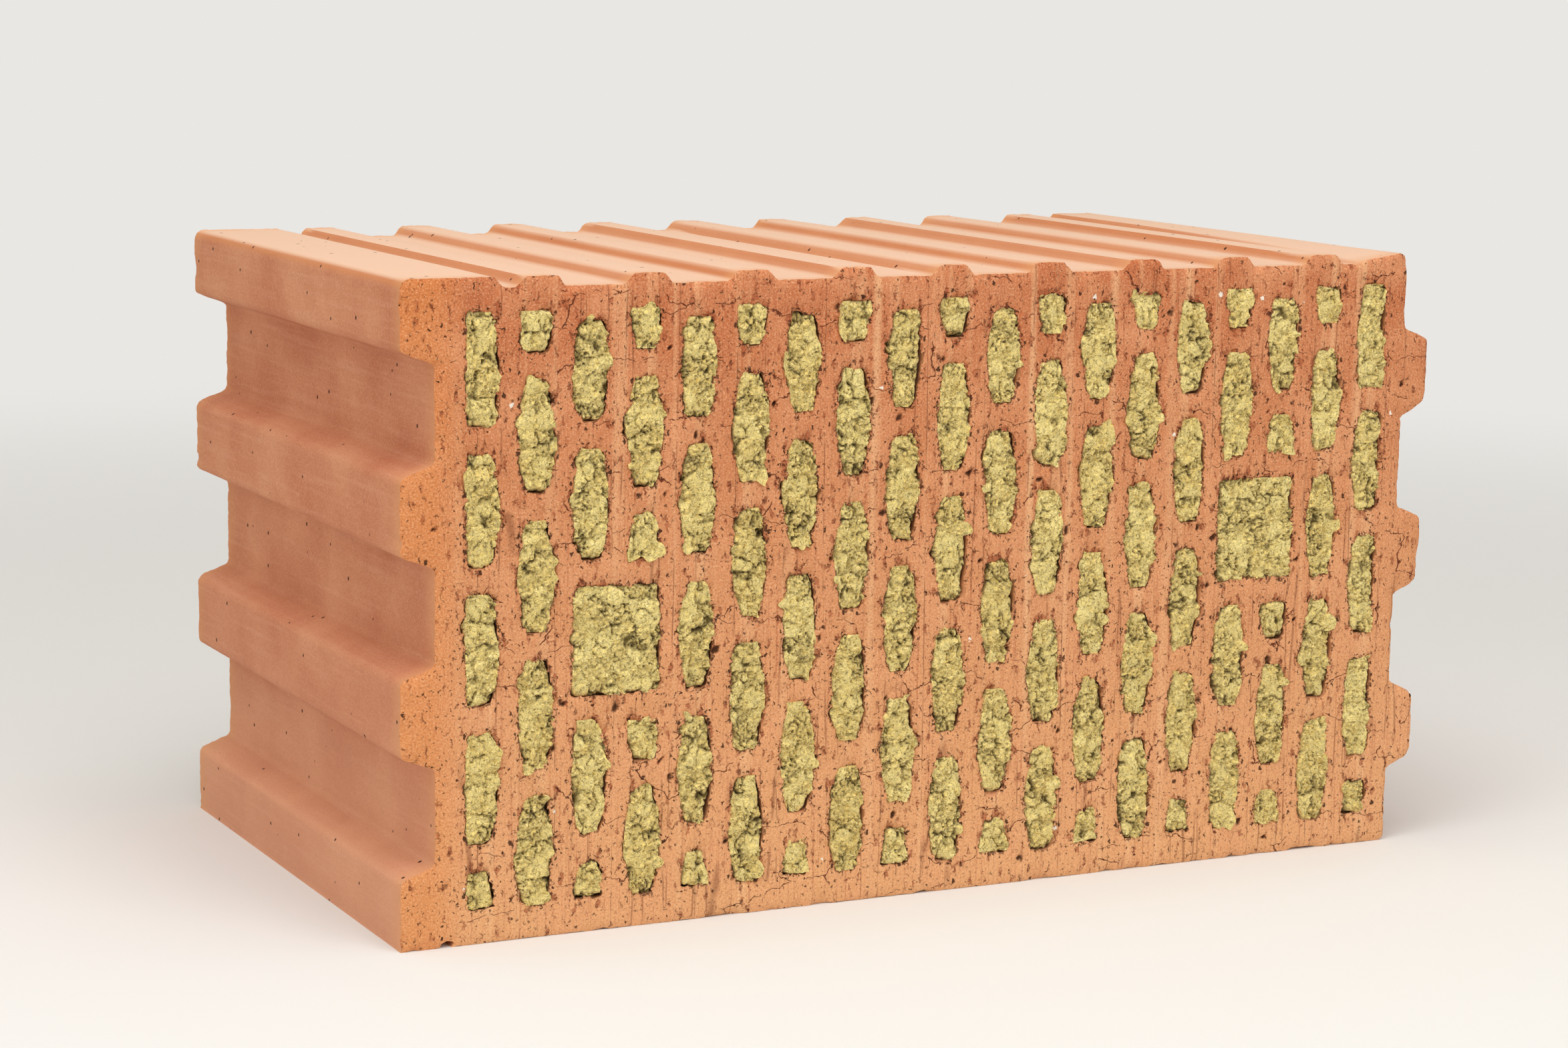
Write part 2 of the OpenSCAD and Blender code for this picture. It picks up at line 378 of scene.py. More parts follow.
def carry(edges, rings, wave):
    """The walls between the two cut faces. Each rim point is carried along y through rings near both ends,
    while it eases from the torn rim to the true outline, and sinks by a slow wave between 0 and that depth.
    Returns the new points and the quads between neighbouring rings."""
    rim = np.unique(edges)
    place = np.zeros(flat_count, int)
    place[rim] = np.arange(len(rim))
    depths = np.concatenate([clay_low[1] + np.array(rings), clay_high[1] - np.array(rings[::-1])])
    ease = 1 - np.exp(-(half_depth - np.abs(depths - clay_mid[1])) / tear_fade)
    around_rim = flat_x[rim, None] + flat_z[rim, None]
    sunk = wave * (0.5 + 0.5 * drift(around_rim, depths[None, :], skin_wave_length, 41))
    move = sunk - torn[rim, None] * ease
    x = flat_x[rim, None] + in_x[rim, None] * move
    z = flat_z[rim, None] + in_z[rim, None] * move
    points = np.stack((x, np.broadcast_to(depths, x.shape), z), axis=-1)
    first = sum(len(p) for p in clay_points)
    ring = first + place[edges][:, :, None] * len(depths) + np.arange(len(depths))
    ring = np.concatenate([edges[:, :, None], ring, edges[:, :, None] + flat_count], axis=2)
    quads = np.stack((ring[:, 1, :-1], ring[:, 0, :-1], ring[:, 0, 1:], ring[:, 1, 1:]), axis=-1)
    return points.reshape(-1, 3), quads.reshape(-1, 4)


for is_cell, rings, wave in ((True, cell_rings, 0.0), (False, skin_rings, skin_wave)):
    chosen = edges[(at_cell[edges] > 0.5).all(axis=1) == is_cell]
    new_points, new_quads = carry(chosen, rings, wave)
    clay_points.append(new_points)
    clay_walls.append(new_quads)

clay_points = np.concatenate(clay_points)
clay_points[:, 2] -= worn_land(*clay_points.T)
clay_points = np.clip(clay_points, clay_low, clay_high)
clay = build("clay_body", clay_points, front, front[:, ::-1] + flat_count, *clay_walls)
no_rim_near = 9.0
cell_gap = np.where(at_cell, rim_gap, no_rim_near)
for fact_name, in_front, at_back in (
    ("rim_gap", cell_gap, cell_gap),
    ("over_cell", over_cell, over_cell),
    ("burst", front_burst, back_burst),
):
    on_walls = np.zeros(len(clay_points) - 2 * flat_count)
    paint(clay, fact_name, np.concatenate([in_front, at_back, on_walls]))


def colour(code):
    """Linear red, green and blue from an sRGB hex code, by the standard curve."""
    srgb = np.array([int(code[i:i + 2], 16) for i in (1, 3, 5)]) / 255
    linear = np.where(srgb <= 0.04045, srgb / 12.92, ((srgb + 0.055) / 1.055)**2.4)
    return (*linear, 1.0)


def add(tree, kind, inputs=(), out=0, **settings):
    """One node: settings are its own fields, inputs maps a socket's name or number to a value or to another
    node's output. Returns the output asked for, if any."""
    node = tree.nodes.new(kind)
    for field, value in settings.items():
        setattr(node, field, value)
    for socket, value in dict(inputs).items():
        if isinstance(value, bpy.types.NodeSocket):
            tree.links.new(value, node.inputs[socket])
        else:
            node.inputs[socket].default_value = value
    return None if out is None else node.outputs[out]


def new_material(name):
    """An empty node material, with its shader tree."""
    material = bpy.data.materials.new(name)
    material.use_nodes = True
    material.node_tree.nodes.clear()
    return material, material.node_tree


def per_mm(size):
    """The scale that gives a pattern this size in millimetres on coordinates in metres."""
    return 1 / (size * mm)


# Wire-cut fired clay: a torn, matt, sandy face. The wire drags grains upright through the soft clay, which
# leaves streaks, long scratches, pits and small tears, and drying adds hairline cracks. The pits, the crumbs
# in the tears and the burst holes get a dark tint, painted shade in their hollows, and a broken dark line
# along the cell rims is painted shadow. Its patterns lie flat in the face, on x and z.
cut_clay, tree = new_material("wire_cut_fired_clay")
blend = {"out": 2, "data_type": "RGBA"}
flat_noise = {"noise_dimensions": "2D"}
flat_cells = {"voronoi_dimensions": "2D"}
spot = add(tree, "ShaderNodeTexCoord", out="Object")
face = add(tree, "ShaderNodeMapping", {"Vector": spot, "Rotation": (math.radians(-90), 0.0, 0.0)})
rim = add(tree, "ShaderNodeAttribute", out="Fac", attribute_name="rim_gap")
near_rim = add(tree, "ShaderNodeMapRange", {0: rim, 1: 3.5, 2: 0.0})
shake = {"Vector": face, "Scale": per_mm(1.5), "Detail": 3.0}
shake = add(tree, "ShaderNodeTexNoise", shake, out=1, **flat_noise)
shake = add(tree, "ShaderNodeVectorMath", {0: shake, 1: (0.5, 0.5, 0.5)}, operation="SUBTRACT")
shake = add(tree, "ShaderNodeVectorMath", {0: shake, "Scale": 2.4 * mm}, operation="SCALE")
ragged = add(tree, "ShaderNodeVectorMath", {0: face, 1: shake})
drawn = add(tree, "ShaderNodeMapping", {"Vector": face, "Scale": (1.0, 0.02, 1.0)})

height = add(tree, "ShaderNodeSeparateXYZ", {0: spot}, out="Z")
rise = add(tree, "ShaderNodeMapRange", {0: height, 1: 0.0, 2: clay_high[2] * mm})
tint = add(tree, "ShaderNodeMix", {0: rise, 6: colour("#e2a774"), 7: colour("#ba683f")}, **blend)
blotch = {"Vector": face, "Scale": per_mm(26), "Detail": 5.0, "Roughness": 0.6}
blotch = add(tree, "ShaderNodeTexNoise", blotch, **flat_noise)
blotch = add(tree, "ShaderNodeMapRange", {0: blotch, 1: 0.38, 2: 0.68, 4: 0.5})
tint = add(tree, "ShaderNodeMix", {0: blotch, 6: tint, 7: colour("#df9d70")}, **blend)
across = add(tree, "ShaderNodeSeparateXYZ", {0: spot}, out="X")
rib_ends_fade = clay_low[0] + 26
rib_ends_full = clay_low[0] + 12
outer = {0: across, 1: rib_ends_fade * mm, 2: rib_ends_full * mm, 4: 0.6}
outer = add(tree, "ShaderNodeMapRange", outer)
tint = add(tree, "ShaderNodeMix", {0: outer, 6: tint, 7: colour("#d48245")}, **blend)
dragged = add(tree, "ShaderNodeMapRange", {0: outer, 1: 0.3, 2: 0.0, 4: 0.5})
band = {"Vector": drawn, "Scale": per_mm(7), "Detail": 2.0}
band = add(tree, "ShaderNodeTexNoise", band, **flat_noise)
band = add(tree, "ShaderNodeMapRange", {0: band, 1: 0.56, 2: 0.78, 4: dragged})
tint = add(tree, "ShaderNodeMix", {0: band, 6: tint, 7: colour("#eebd8c")}, **blend)
streak = {"Vector": drawn, "Scale": per_mm(1.3), "Detail": 3.0, "Roughness": 0.65}
streak = add(tree, "ShaderNodeTexNoise", streak, **flat_noise)
streak_dark = add(tree, "ShaderNodeMapRange", {0: streak, 1: 0.57, 2: 0.75, 4: dragged})
tint = add(tree, "ShaderNodeMix", {0: streak_dark, 6: tint, 7: colour("#a95a37")}, **blend)
grain = {"Vector": face, "Scale": per_mm(0.8), "Detail": 3.0, "Roughness": 0.75}
grain = add(tree, "ShaderNodeTexNoise", grain, **flat_noise)
grain_light = add(tree, "ShaderNodeMapRange", {0: grain, 1: 0.52, 2: 0.7, 4: 0.42})
tint = add(tree, "ShaderNodeMix", {0: grain_light, 6: tint, 7: colour("#f3ca9e")}, **blend)
grain_dark = add(tree, "ShaderNodeMapRange", {0: grain, 1: 0.44, 2: 0.28, 4: 0.56})
tint = add(tree, "ShaderNodeMix", {0: grain_dark, 6: tint, 7: colour("#934624")}, **blend)

over = add(tree, "ShaderNodeAttribute", out="Fac", attribute_name="over_cell")
tear = add(tree, "ShaderNodeMapping", {"Vector": ragged, "Scale": (1.0, 0.4, 1.0)})
tear = {"Vector": tear, "Scale": per_mm(2.6), "Detail": 4.0}
tear = add(tree, "ShaderNodeTexNoise", tear, **flat_noise)
tear = add(tree, "ShaderNodeMath", {0: near_rim, 1: 0.05, 2: tear}, operation="MULTIPLY_ADD")
tear = add(tree, "ShaderNodeMath", {0: over, 1: 0.12, 2: tear}, operation="MULTIPLY_ADD")
tear = add(tree, "ShaderNodeMapRange", {0: tear, 1: 0.64, 2: 0.73})
torn_tint = add(tree, "ShaderNodeMath", {0: tear, 1: 0.62}, operation="MULTIPLY")
tint = add(tree, "ShaderNodeMix", {0: torn_tint, 6: tint, 7: colour("#a04c2a")}, **blend)
# Dark crumbs in the torn patches: painted shade between the crumbs, also sunk in the bump.
crumb = {"Vector": ragged, "Scale": per_mm(1.1), "Detail": 3.0, "Roughness": 0.7}
crumb = add(tree, "ShaderNodeTexNoise", crumb, **flat_noise)
crumb = add(tree, "ShaderNodeMapRange", {0: crumb, 1: 0.45, 2: 0.38})
crumb = add(tree, "ShaderNodeMath", {0: crumb, 1: tear}, operation="MULTIPLY")
painted_crumb_shade = add(tree, "ShaderNodeMath", {0: crumb, 1: 0.85}, operation="MULTIPLY")
tint = add(tree, "ShaderNodeMix", {0: painted_crumb_shade, 6: tint, 7: colour("#5c2810")}, **blend)

wander = {"Vector": face, "Scale": per_mm(6), "Detail": 4.0}
wander = add(tree, "ShaderNodeTexNoise", wander, out=1, **flat_noise)
wander = add(tree, "ShaderNodeVectorMath", {0: wander, 1: (0.5, 0.5, 0.5)}, operation="SUBTRACT")
wander = add(tree, "ShaderNodeVectorMath", {0: wander, "Scale": 6 * mm}, operation="SCALE")
wander = add(tree, "ShaderNodeVectorMath", {0: face, 1: wander})
wander = add(tree, "ShaderNodeMapping", {"Vector": wander, "Scale": (0.45, 1.0, 1.0)})
hairline = {"Vector": wander, "Scale": per_mm(19)}
hairline = add(tree, "ShaderNodeTexVoronoi", hairline, feature="DISTANCE_TO_EDGE", **flat_cells)
hairline = add(tree, "ShaderNodeMapRange", {0: hairline, 1: 0.009, 2: 0.003, 4: 2.2})
broken = {"Vector": face, "Scale": per_mm(15), "Detail": 3.0}
broken = add(tree, "ShaderNodeTexNoise", broken, **flat_noise)
broken = add(tree, "ShaderNodeMapRange", {0: broken, 1: 0.53, 2: 0.58, 4: dragged})
hairline = add(tree, "ShaderNodeMath", {0: hairline, 1: broken}, operation="MULTIPLY")
scratch = {"Vector": drawn, "Scale": per_mm(9)}
scratch = add(tree, "ShaderNodeTexVoronoi", scratch, feature="DISTANCE_TO_EDGE", **flat_cells)
scratch = add(tree, "ShaderNodeMapRange", {0: scratch, 1: 0.03, 2: 0.008, 4: 0.95})
scored = {"Vector": face, "Scale": per_mm(22), "Detail": 2.0}
scored = add(tree, "ShaderNodeTexNoise", scored, **flat_noise)
scored = add(tree, "ShaderNodeMapRange", {0: scored, 1: 0.47, 2: 0.62, 4: dragged})
scratch = add(tree, "ShaderNodeMath", {0: scratch, 1: scored}, operation="MULTIPLY")
crack = add(tree, "ShaderNodeMath", {0: hairline, 1: scratch}, operation="MAXIMUM")
tint = add(tree, "ShaderNodeMix", {0: crack, 6: tint, 7: colour("#682f17")}, **blend)

# Pits: each hollow gets a dark tint, painted shade, and a dip in the bump.
hollow = 0.0
for pit_size, drawn_out, share, rim_share, reach in (
    (1.2, 0.7, 0.05, 0.2, 0.3),
    (3.0, 0.7, 0.05, 0.14, 0.24),
    (2.6, 0.14, 0.08, 0.06, 0.12),
):
    pit = add(tree, "ShaderNodeMapping", {"Vector": ragged, "Scale": (1.0, drawn_out, 1.0)})
    pit = {"Vector": pit, "Scale": per_mm(pit_size)}
    away = add(tree, "ShaderNodeTexVoronoi", pit, out="Distance", **flat_cells)
    chance = add(tree, "ShaderNodeTexVoronoi", pit, out="Color", **flat_cells)
    chance = add(tree, "ShaderNodeSeparateColor", {0: chance})
    chance = add(tree, "ShaderNodeMath", {0: near_rim, 1: rim_share, 2: chance}, operation="MULTIPLY_ADD")
    pit = add(tree, "ShaderNodeMapRange", {0: chance, 1: 1 - share, 2: 1.0, 4: reach})
    pit = add(tree, "ShaderNodeMath", {0: pit, 1: away}, operation="SUBTRACT")
    pit = add(tree, "ShaderNodeMapRange", {0: pit, 1: 0.0, 2: 0.06})
    hollow = add(tree, "ShaderNodeMath", {0: pit, 1: hollow}, operation="MAXIMUM")
# A broken dark line along the cell rims: painted shadow where the wool meets the clay.
rim_shadow_notch = {"Vector": ragged, "Scale": per_mm(1.4), "Detail": 2.0}
rim_shadow_notch = add(tree, "ShaderNodeTexNoise", rim_shadow_notch, **flat_noise)
at_rim = add(tree, "ShaderNodeMapRange", {0: rim, 1: 1.4, 2: 0.0, 4: 0.2})
rim_shadow_notch = add(tree, "ShaderNodeMath", {0: rim_shadow_notch, 1: at_rim})
rim_shadow_notch = add(tree, "ShaderNodeMapRange", {0: rim_shadow_notch, 1: 0.69, 2: 0.77, 4: 0.8})
hollow = add(tree, "ShaderNodeMath", {0: rim_shadow_notch, 1: hollow}, operation="MAXIMUM")
# The burst holes, sunk in the geometry, are darkened too: painted shade in them.
hole = add(tree, "ShaderNodeAttribute", out="Fac", attribute_name="burst")
hole = add(tree, "ShaderNodeMath", {0: grain, 1: 0.5, 2: hole}, operation="MULTIPLY_ADD")
hole = add(tree, "ShaderNodeMapRange", {0: hole, 1: 0.6, 2: 0.95})
hollow = add(tree, "ShaderNodeMath", {0: hole, 1: hollow}, operation="MAXIMUM")
# The dark tint of all these hollows is painted shade.
painted_pit_shade = add(tree, "ShaderNodeMath", {0: hollow, 1: 0.92}, operation="MULTIPLY")
tint = add(tree, "ShaderNodeMix", {0: painted_pit_shade, 6: tint, 7: colour("#3b1b09")}, **blend)

lime = {"Vector": ragged, "Scale": per_mm(26)}
speck = add(tree, "ShaderNodeTexVoronoi", lime, out="Distance", **flat_cells)
chance = add(tree, "ShaderNodeTexVoronoi", lime, out="Color", **flat_cells)
reach = add(tree, "ShaderNodeMapRange", {0: chance, 1: 0.6, 2: 0.8, 4: 0.032})
speck = add(tree, "ShaderNodeMath", {0: speck, 1: reach}, operation="LESS_THAN")
tint = add(tree, "ShaderNodeMix", {0: speck, 6: tint, 7: colour("#eadfd0")}, **blend)

relief = 0.0
for raised, share in (
    (grain, 0.4),
    (streak, -0.5),
    (crack, -0.8),
    (tear, -0.5),
    (crumb, -1.0),
    (hollow, -1.6),
):
    relief = add(tree, "ShaderNodeMath", {0: raised, 1: share, 2: relief}, operation="MULTIPLY_ADD")
bump = add(tree, "ShaderNodeBump", {"Height": relief, "Distance": 0.45 * mm, "Strength": 0.9})
surface = {"Base Color": tint, "Roughness": 0.92, "Specular IOR Level": 0.25, "Normal": bump}
surface = add(tree, "ShaderNodeBsdfPrincipled", surface)
add(tree, "ShaderNodeOutputMaterial", {"Surface": surface}, out=None)

# Extruded clay skin: the die leaves it close and smooth, with fine sand, faint lines along the run and a few
# pinholes, painted dark as shade in them. Near the top it is painted paler where it faces up, as light from
# above, and darker on the sloping flanks, as painted shade, and it is paler along its cut ends.
skin_clay, tree = new_material("extruded_fired_clay")
spot = add(tree, "ShaderNodeTexCoord", out="Object")
run = add(tree, "ShaderNodeMapping", {"Vector": spot, "Scale": (1.0, 0.04, 1.0)})
blotch = {"Vector": spot, "Scale": per_mm(55), "Detail": 4.0, "Roughness": 0.55}
blotch = add(tree, "ShaderNodeTexNoise", blotch)
blotch = add(tree, "ShaderNodeMapRange", {0: blotch, 1: 0.35, 2: 0.65})
tint = add(tree, "ShaderNodeMix", {0: blotch, 6: colour("#bf7552"), 7: colour("#d2906a")}, **blend)
line = {"Vector": run, "Scale": per_mm(2.6), "Detail": 4.0, "Roughness": 0.6}
line = add(tree, "ShaderNodeTexNoise", line)
line_light = add(tree, "ShaderNodeMapRange", {0: line, 1: 0.5, 2: 0.75, 4: 0.3})
tint = add(tree, "ShaderNodeMix", {0: line_light, 6: tint, 7: colour("#e0a685")}, **blend)
sand = {"Vector": spot, "Scale": per_mm(0.7), "Detail": 2.0, "Roughness": 0.75}
sand = add(tree, "ShaderNodeTexNoise", sand)
sand_dark = add(tree, "ShaderNodeMapRange", {0: sand, 1: 0.5, 2: 0.25, 4: 0.5})
tint = add(tree, "ShaderNodeMix", {0: sand_dark, 6: tint, 7: colour("#a65c3a")}, **blend)
sand_light = add(tree, "ShaderNodeMapRange", {0: sand, 1: 0.52, 2: 0.75, 4: 0.36})
tint = add(tree, "ShaderNodeMix", {0: sand_light, 6: tint, 7: colour("#e9b797")}, **blend)
upward = add(tree, "ShaderNodeNewGeometry", out="Normal")
upward = add(tree, "ShaderNodeSeparateXYZ", {0: upward}, out="Z")
facing = add(tree, "ShaderNodeMapRange", {0: upward, 1: 0.65, 2: 1.0}, interpolation_type="SMOOTHSTEP")
height = add(tree, "ShaderNodeSeparateXYZ", {0: spot}, out="Z")
top_starts = clay_high[2] - 20
top_is_full = clay_high[2] - 10
near_top = {0: height, 1: top_starts * mm, 2: top_is_full * mm, 4: 0.7}
near_top = add(tree, "ShaderNodeMapRange", near_top)
# Darker orange on the sloping flanks near the top: painted shade.
upward = add(tree, "ShaderNodeMapRange", {0: upward, 1: 0.1, 2: 0.5})
painted_flank_shade = add(tree, "ShaderNodeMath", {0: near_top, 1: upward}, operation="MULTIPLY")
tint = add(tree, "ShaderNodeMix", {0: painted_flank_shade, 6: tint, 7: colour("#c57f4f")}, **blend)
# Paler where it faces up near the top: painted light from above.
painted_top_light = add(tree, "ShaderNodeMath", {0: near_top, 1: facing}, operation="MULTIPLY")
tint = add(tree, "ShaderNodeMix", {0: painted_top_light, 6: tint, 7: colour("#e8cab0")}, **blend)
foot = add(tree, "ShaderNodeMapRange", {0: height, 1: 0.12, 2: 0.0, 4: 0.55})
tint = add(tree, "ShaderNodeMix", {0: foot, 6: tint, 7: colour("#dfa583")}, **blend)
deep = add(tree, "ShaderNodeSeparateXYZ", {0: spot}, out="Y")
deep = add(tree, "ShaderNodeMath", {0: deep}, operation="ABSOLUTE")
band_width = 12.0
end_band = {0: deep, 1: (half_depth - band_width) * mm, 2: half_depth * mm, 4: 0.55}
end_band = add(tree, "ShaderNodeMapRange", end_band)
tint = add(tree, "ShaderNodeMix", {0: end_band, 6: tint, 7: colour("#d99a66")}, **blend)
pinhole = {"Vector": spot, "Scale": per_mm(7)}
away = add(tree, "ShaderNodeTexVoronoi", pinhole, out="Distance")
chance = add(tree, "ShaderNodeTexVoronoi", pinhole, out="Color")
reach = add(tree, "ShaderNodeMapRange", {0: chance, 1: 0.52, 2: 0.8, 4: 0.13})
pinhole = add(tree, "ShaderNodeMath", {0: reach, 1: away}, operation="SUBTRACT")
pinhole = add(tree, "ShaderNodeMapRange", {0: pinhole, 1: 0.0, 2: 0.03})
# Pinholes get a dark tint: painted shade in each hole, also sunk in the bump.
tint = add(tree, "ShaderNodeMix", {0: pinhole, 6: tint, 7: colour("#4a2413")}, **blend)
relief = 0.0
for raised, share in ((sand, 0.4), (line, 0.5), (pinhole, -1.5)):
    relief = add(tree, "ShaderNodeMath", {0: raised, 1: share, 2: relief}, operation="MULTIPLY_ADD")
bump = add(tree, "ShaderNodeBump", {"Height": relief, "Distance": 0.3 * mm, "Strength": 0.6})
surface = {"Base Color": tint, "Roughness": 0.85, "Specular IOR Level": 0.3, "Normal": bump}
surface = add(tree, "ShaderNodeBsdfPrincipled", surface)
add(tree, "ShaderNodeOutputMaterial", {"Surface": surface}, out=None)

clay.data.materials.append(cut_clay)
clay.data.materials.append(skin_clay)
is_skin = np.arange(len(clay.data.polygons)) >= 2 * len(front)
clay.data.polygons.foreach_set("material_index", is_skin.astype(np.int32))
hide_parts("clay_block")
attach(clay, "root")

# Wool filling
# Granulated mineral wool, blown and pressed into every cell from the cut faces. Each tuft is a lumpy felted
# mass of short fibres with flat flakes in it, level with the rim in some places and sunk in others.
wool_step = 0.6
wool_rings = 5.0
wool_sunk = (-0.6, 0.5)
wool_lying = -0.7
lean_at_wool = 1.5
swell_share = 0.9
swell_fade = 2.5
spill_level = 0.66
spill_rise = 8.0
joint_fade = 13.0


def flakes(a, b, size, seed):
    """Overlapping flakes, one for each cell of a cell pattern. Each lies at its own height, from -0.5 to
    0.5, and leans its own way. Also how near the joint to the next flake is, 1 on it and fading from it,
    and the flake's own number."""
    near_a, near_b, joint, tag = pebbles(a, b, size, seed)
    lean = 2 * math.pi * (17 * tag % 1)
    return tag - 0.5 + near_a * np.cos(lean) + near_b * np.sin(lean), np.exp(-joint_fade * joint), tag


def tuft_outline(points):
    """A cell's outline as a grid: z runs from its bottom to its top, and at each height x runs from its left
    side to its right side. Also each grid place's distances from the left, right, bottom and top, in mm."""
    low, high = points.min(axis=0), points.max(axis=0)
    columns, rows = np.rint((high - low) / wool_step).astype(int)
    u, v = np.meshgrid(np.linspace(0, 1, columns + 1), np.linspace(0, 1, rows + 1), indexing="ij")
    z = low[1] + v * (high[1] - low[1])
    by_height = points[np.argsort(points[:, 1])]
    on_left = by_height[:, 0] < (low[0] + high[0]) / 2
    left = np.interp(z, by_height[on_left, 1], by_height[on_left, 0])
    right = np.interp(z, by_height[~on_left, 1], by_height[~on_left, 0])
    x = left + u * (right - left)
    sides = (u * (right - left), (1 - u) * (right - left), z - low[1], high[1] - z)
    return x, z, sides


def felted(x, z, edge, seed, sunk):
    """How deep the wool lies below the cut face, in mm, how much of each place is crevice, and its flake's
    own number. Flakes of two sizes lie over each other on bent axes, with joints that gape in some places
    and a few holes. Each large flake has its fibres laid one way, as folded noise drawn out along that
    direction, and every third is smooth. The mass falls away beside the cell's walls, and what stands proud
    of the face is pressed down."""
    bent_x = x + 1.3 * drift(x, z, 3.8, seed) + 0.7 * drift(x, z, 1.5, seed + 1)
    bent_z = z + 1.3 * drift(x, z, 3.8, seed + 2) + 0.7 * drift(x, z, 1.5, seed + 3)
    large, large_joint, tag = flakes(bent_x, bent_z, 6.0, seed + 4)
    small, small_joint, _ = flakes(bent_x, bent_z, 1.9, seed + 8)
    gaping = np.clip(0.6 + 1.1 * drift(x, z, 4.4, seed + 11), 0, 1)
    hole = np.maximum(drift(bent_x, bent_z, 3.4, seed + 12) - 0.66, 0)
    along, across = np.cos(math.pi * tag), np.sin(math.pi * tag)
    fibre = np.abs(drift((x * along + z * across) / 4, z * along - x * across, 1.2, seed + 13))
    fallen = np.exp(-edge / 0.9) * np.maximum(0.1 + 1.3 * drift(x, z, 7.0, seed + 14), 0)
    loose = np.where(tag > 0.66, 0.25, 1.0)
    depth = sunk + 1.0 * large + loose * (1.05 * small + 0.6 * (1 - fibre)) + 3.6 * fallen + 4.0 * hole
    depth += gaping * (1.4 * large_joint + 0.9 * loose * small_joint)
    depth = np.maximum(depth, 0.4 * depth - 0.3)
    # The crevice share marks where the material paints shade: joints, holes and the fallen wool by the
    # walls.
    crevice = gaping * (0.85 * large_joint + 0.9 * loose * small_joint) + 2.2 * hole + 1.0 * fallen
    return depth, np.clip(crevice + 0.2 * loose * (1 - fibre), 0, 1), tag


def grid_quads(number):
    """The quads of a grid of point numbers, turning anticlockwise with x to the right and z up."""
    quads = np.stack((number[:-1, :-1], number[1:, :-1], number[1:, 1:], number[:-1, 1:]), axis=-1)
    return quads.reshape(-1, 4)


def around(number):
    """The numbers on the edge of a grid, once round, anticlockwise."""
    return np.concatenate([number[:-1, 0], number[-1, :-1], number[:0:-1, -1], number[0, :0:-1]])


def tuft(points, seed):
    """One tuft: a felted face at each end, and between their edges two rings on the plain outline, joined
    by quads. Near the faces the wool swells into the torn rim and draws in beside the leaning clay, and in
    a few places it spills over the rim and lies on the clay. Returns points, quads, crevices and tones."""
    x, z, sides = tuft_outline(points)
    edge = np.minimum.reduce(sides)
    left, right, low, high = (np.exp(-side / swell_fade) for side in sides)
    squeezed = lean_lowest * (z.max() < lowest_row)
    lean = np.minimum(lean_of_side(np.minimum(sides[2], sides[3])) + squeezed, lean_at_wool)
    lean = lean * (np.ptp(x) < cell_widest)
    number = np.arange(x.size).reshape(x.shape)
    rim = around(number)
    sunk = wool_sunk[0] + (wool_sunk[1] - wool_sunk[0]) * lot(seed, 1, 51)
    tuft_points, crevices, tones = [], [], []
    for cut_y, inward, noise_seed in ((clay_low[1], 1, 60), (clay_high[1], -1, 90)):
        spill = spill_rise * np.maximum(drift(x, z, 8.0, noise_seed + 20) - spill_level, 0)
        swell = swell_share * np.maximum(torn_cell(x, z), 0) + spill
        swollen_x, swollen_z = x + (right - left) * (swell - lean), z + (high - low) * (swell - squeezed)
        depth, crevice, tag = felted(swollen_x, swollen_z, edge, noise_seed, sunk)
        lying = np.clip(spill, 0, 1) * np.exp(-edge / 3)
        depth = depth * (1 - lying) + wool_lying * lying
        face = np.stack((swollen_x, cut_y + inward * depth, swollen_z), axis=-1)
        tuft_points.append(face.reshape(-1, 3))
        crevices.append((crevice * (1 - lying)).ravel())
        tones.append((0.4 * lot(seed, 2, 52) + 0.6 * tag).ravel())
    for ring_y in (clay_low[1] + wool_rings, clay_high[1] - wool_rings):
        tuft_points.append(np.stack((x.ravel()[rim], np.full(len(rim), ring_y), z.ravel()[rim]), axis=-1))
        # The sides down to the rings count as full crevice, so the material paints them in full shade.
        crevices.append(np.ones(len(rim)))
        tones.append(np.zeros(len(rim)))
    ring_number = 2 * x.size + np.arange(len(rim))
    steps = (rim, ring_number, ring_number + len(rim), rim + x.size)
    quads = [grid_quads(number), grid_quads(number)[:, ::-1] + x.size]
    for near, far in zip(steps, steps[1:]):
        quads.append(np.stack((np.roll(near, -1), near, far, np.roll(far, -1)), axis=-1))
    return (np.concatenate(rows) for rows in (tuft_points, quads, crevices, tones))


# Granulated mineral wool: felted yellow-green fibres, pale and dry on the lumps, painted olive-brown shade
# in the creases and fine dark specks of painted shade in the small gaps, with a soft sheen from the fibre
# ends.
wool_felt, tree = new_material("granulated_mineral_wool")
spot = add(tree, "ShaderNodeTexCoord", out="Object")
crevice = add(tree, "ShaderNodeAttribute", out="Fac", attribute_name="crevice")
tone = add(tree, "ShaderNodeAttribute", out="Fac", attribute_name="tone")
curl = add(tree, "ShaderNodeTexNoise", {"Vector": spot, "Scale": per_mm(3.0), "Detail": 2.0}, out=1)
curl = add(tree, "ShaderNodeVectorMath", {0: curl, "Scale": 3.0 * mm}, operation="SCALE")
curled = add(tree, "ShaderNodeVectorMath", {0: spot, 1: curl})
fibre = 0.0
for turn in (20, 80, 140):
    laid = {"Vector": curled, "Rotation": (0.0, math.radians(turn), 0.0)}
    laid = add(tree, "ShaderNodeMapping", laid)
    laid = add(tree, "ShaderNodeMapping", {"Vector": laid, "Scale": (0.25, 0.5, 1.0)})
    strand = add(tree, "ShaderNodeTexNoise", {"Vector": laid, "Scale": per_mm(0.5), "Detail": 1.0})
    fibre = add(tree, "ShaderNodeMath", {0: strand, 1: fibre}, operation="MAXIMUM")
fibre = add(tree, "ShaderNodeMapRange", {0: fibre, 1: 0.5, 2: 0.72})
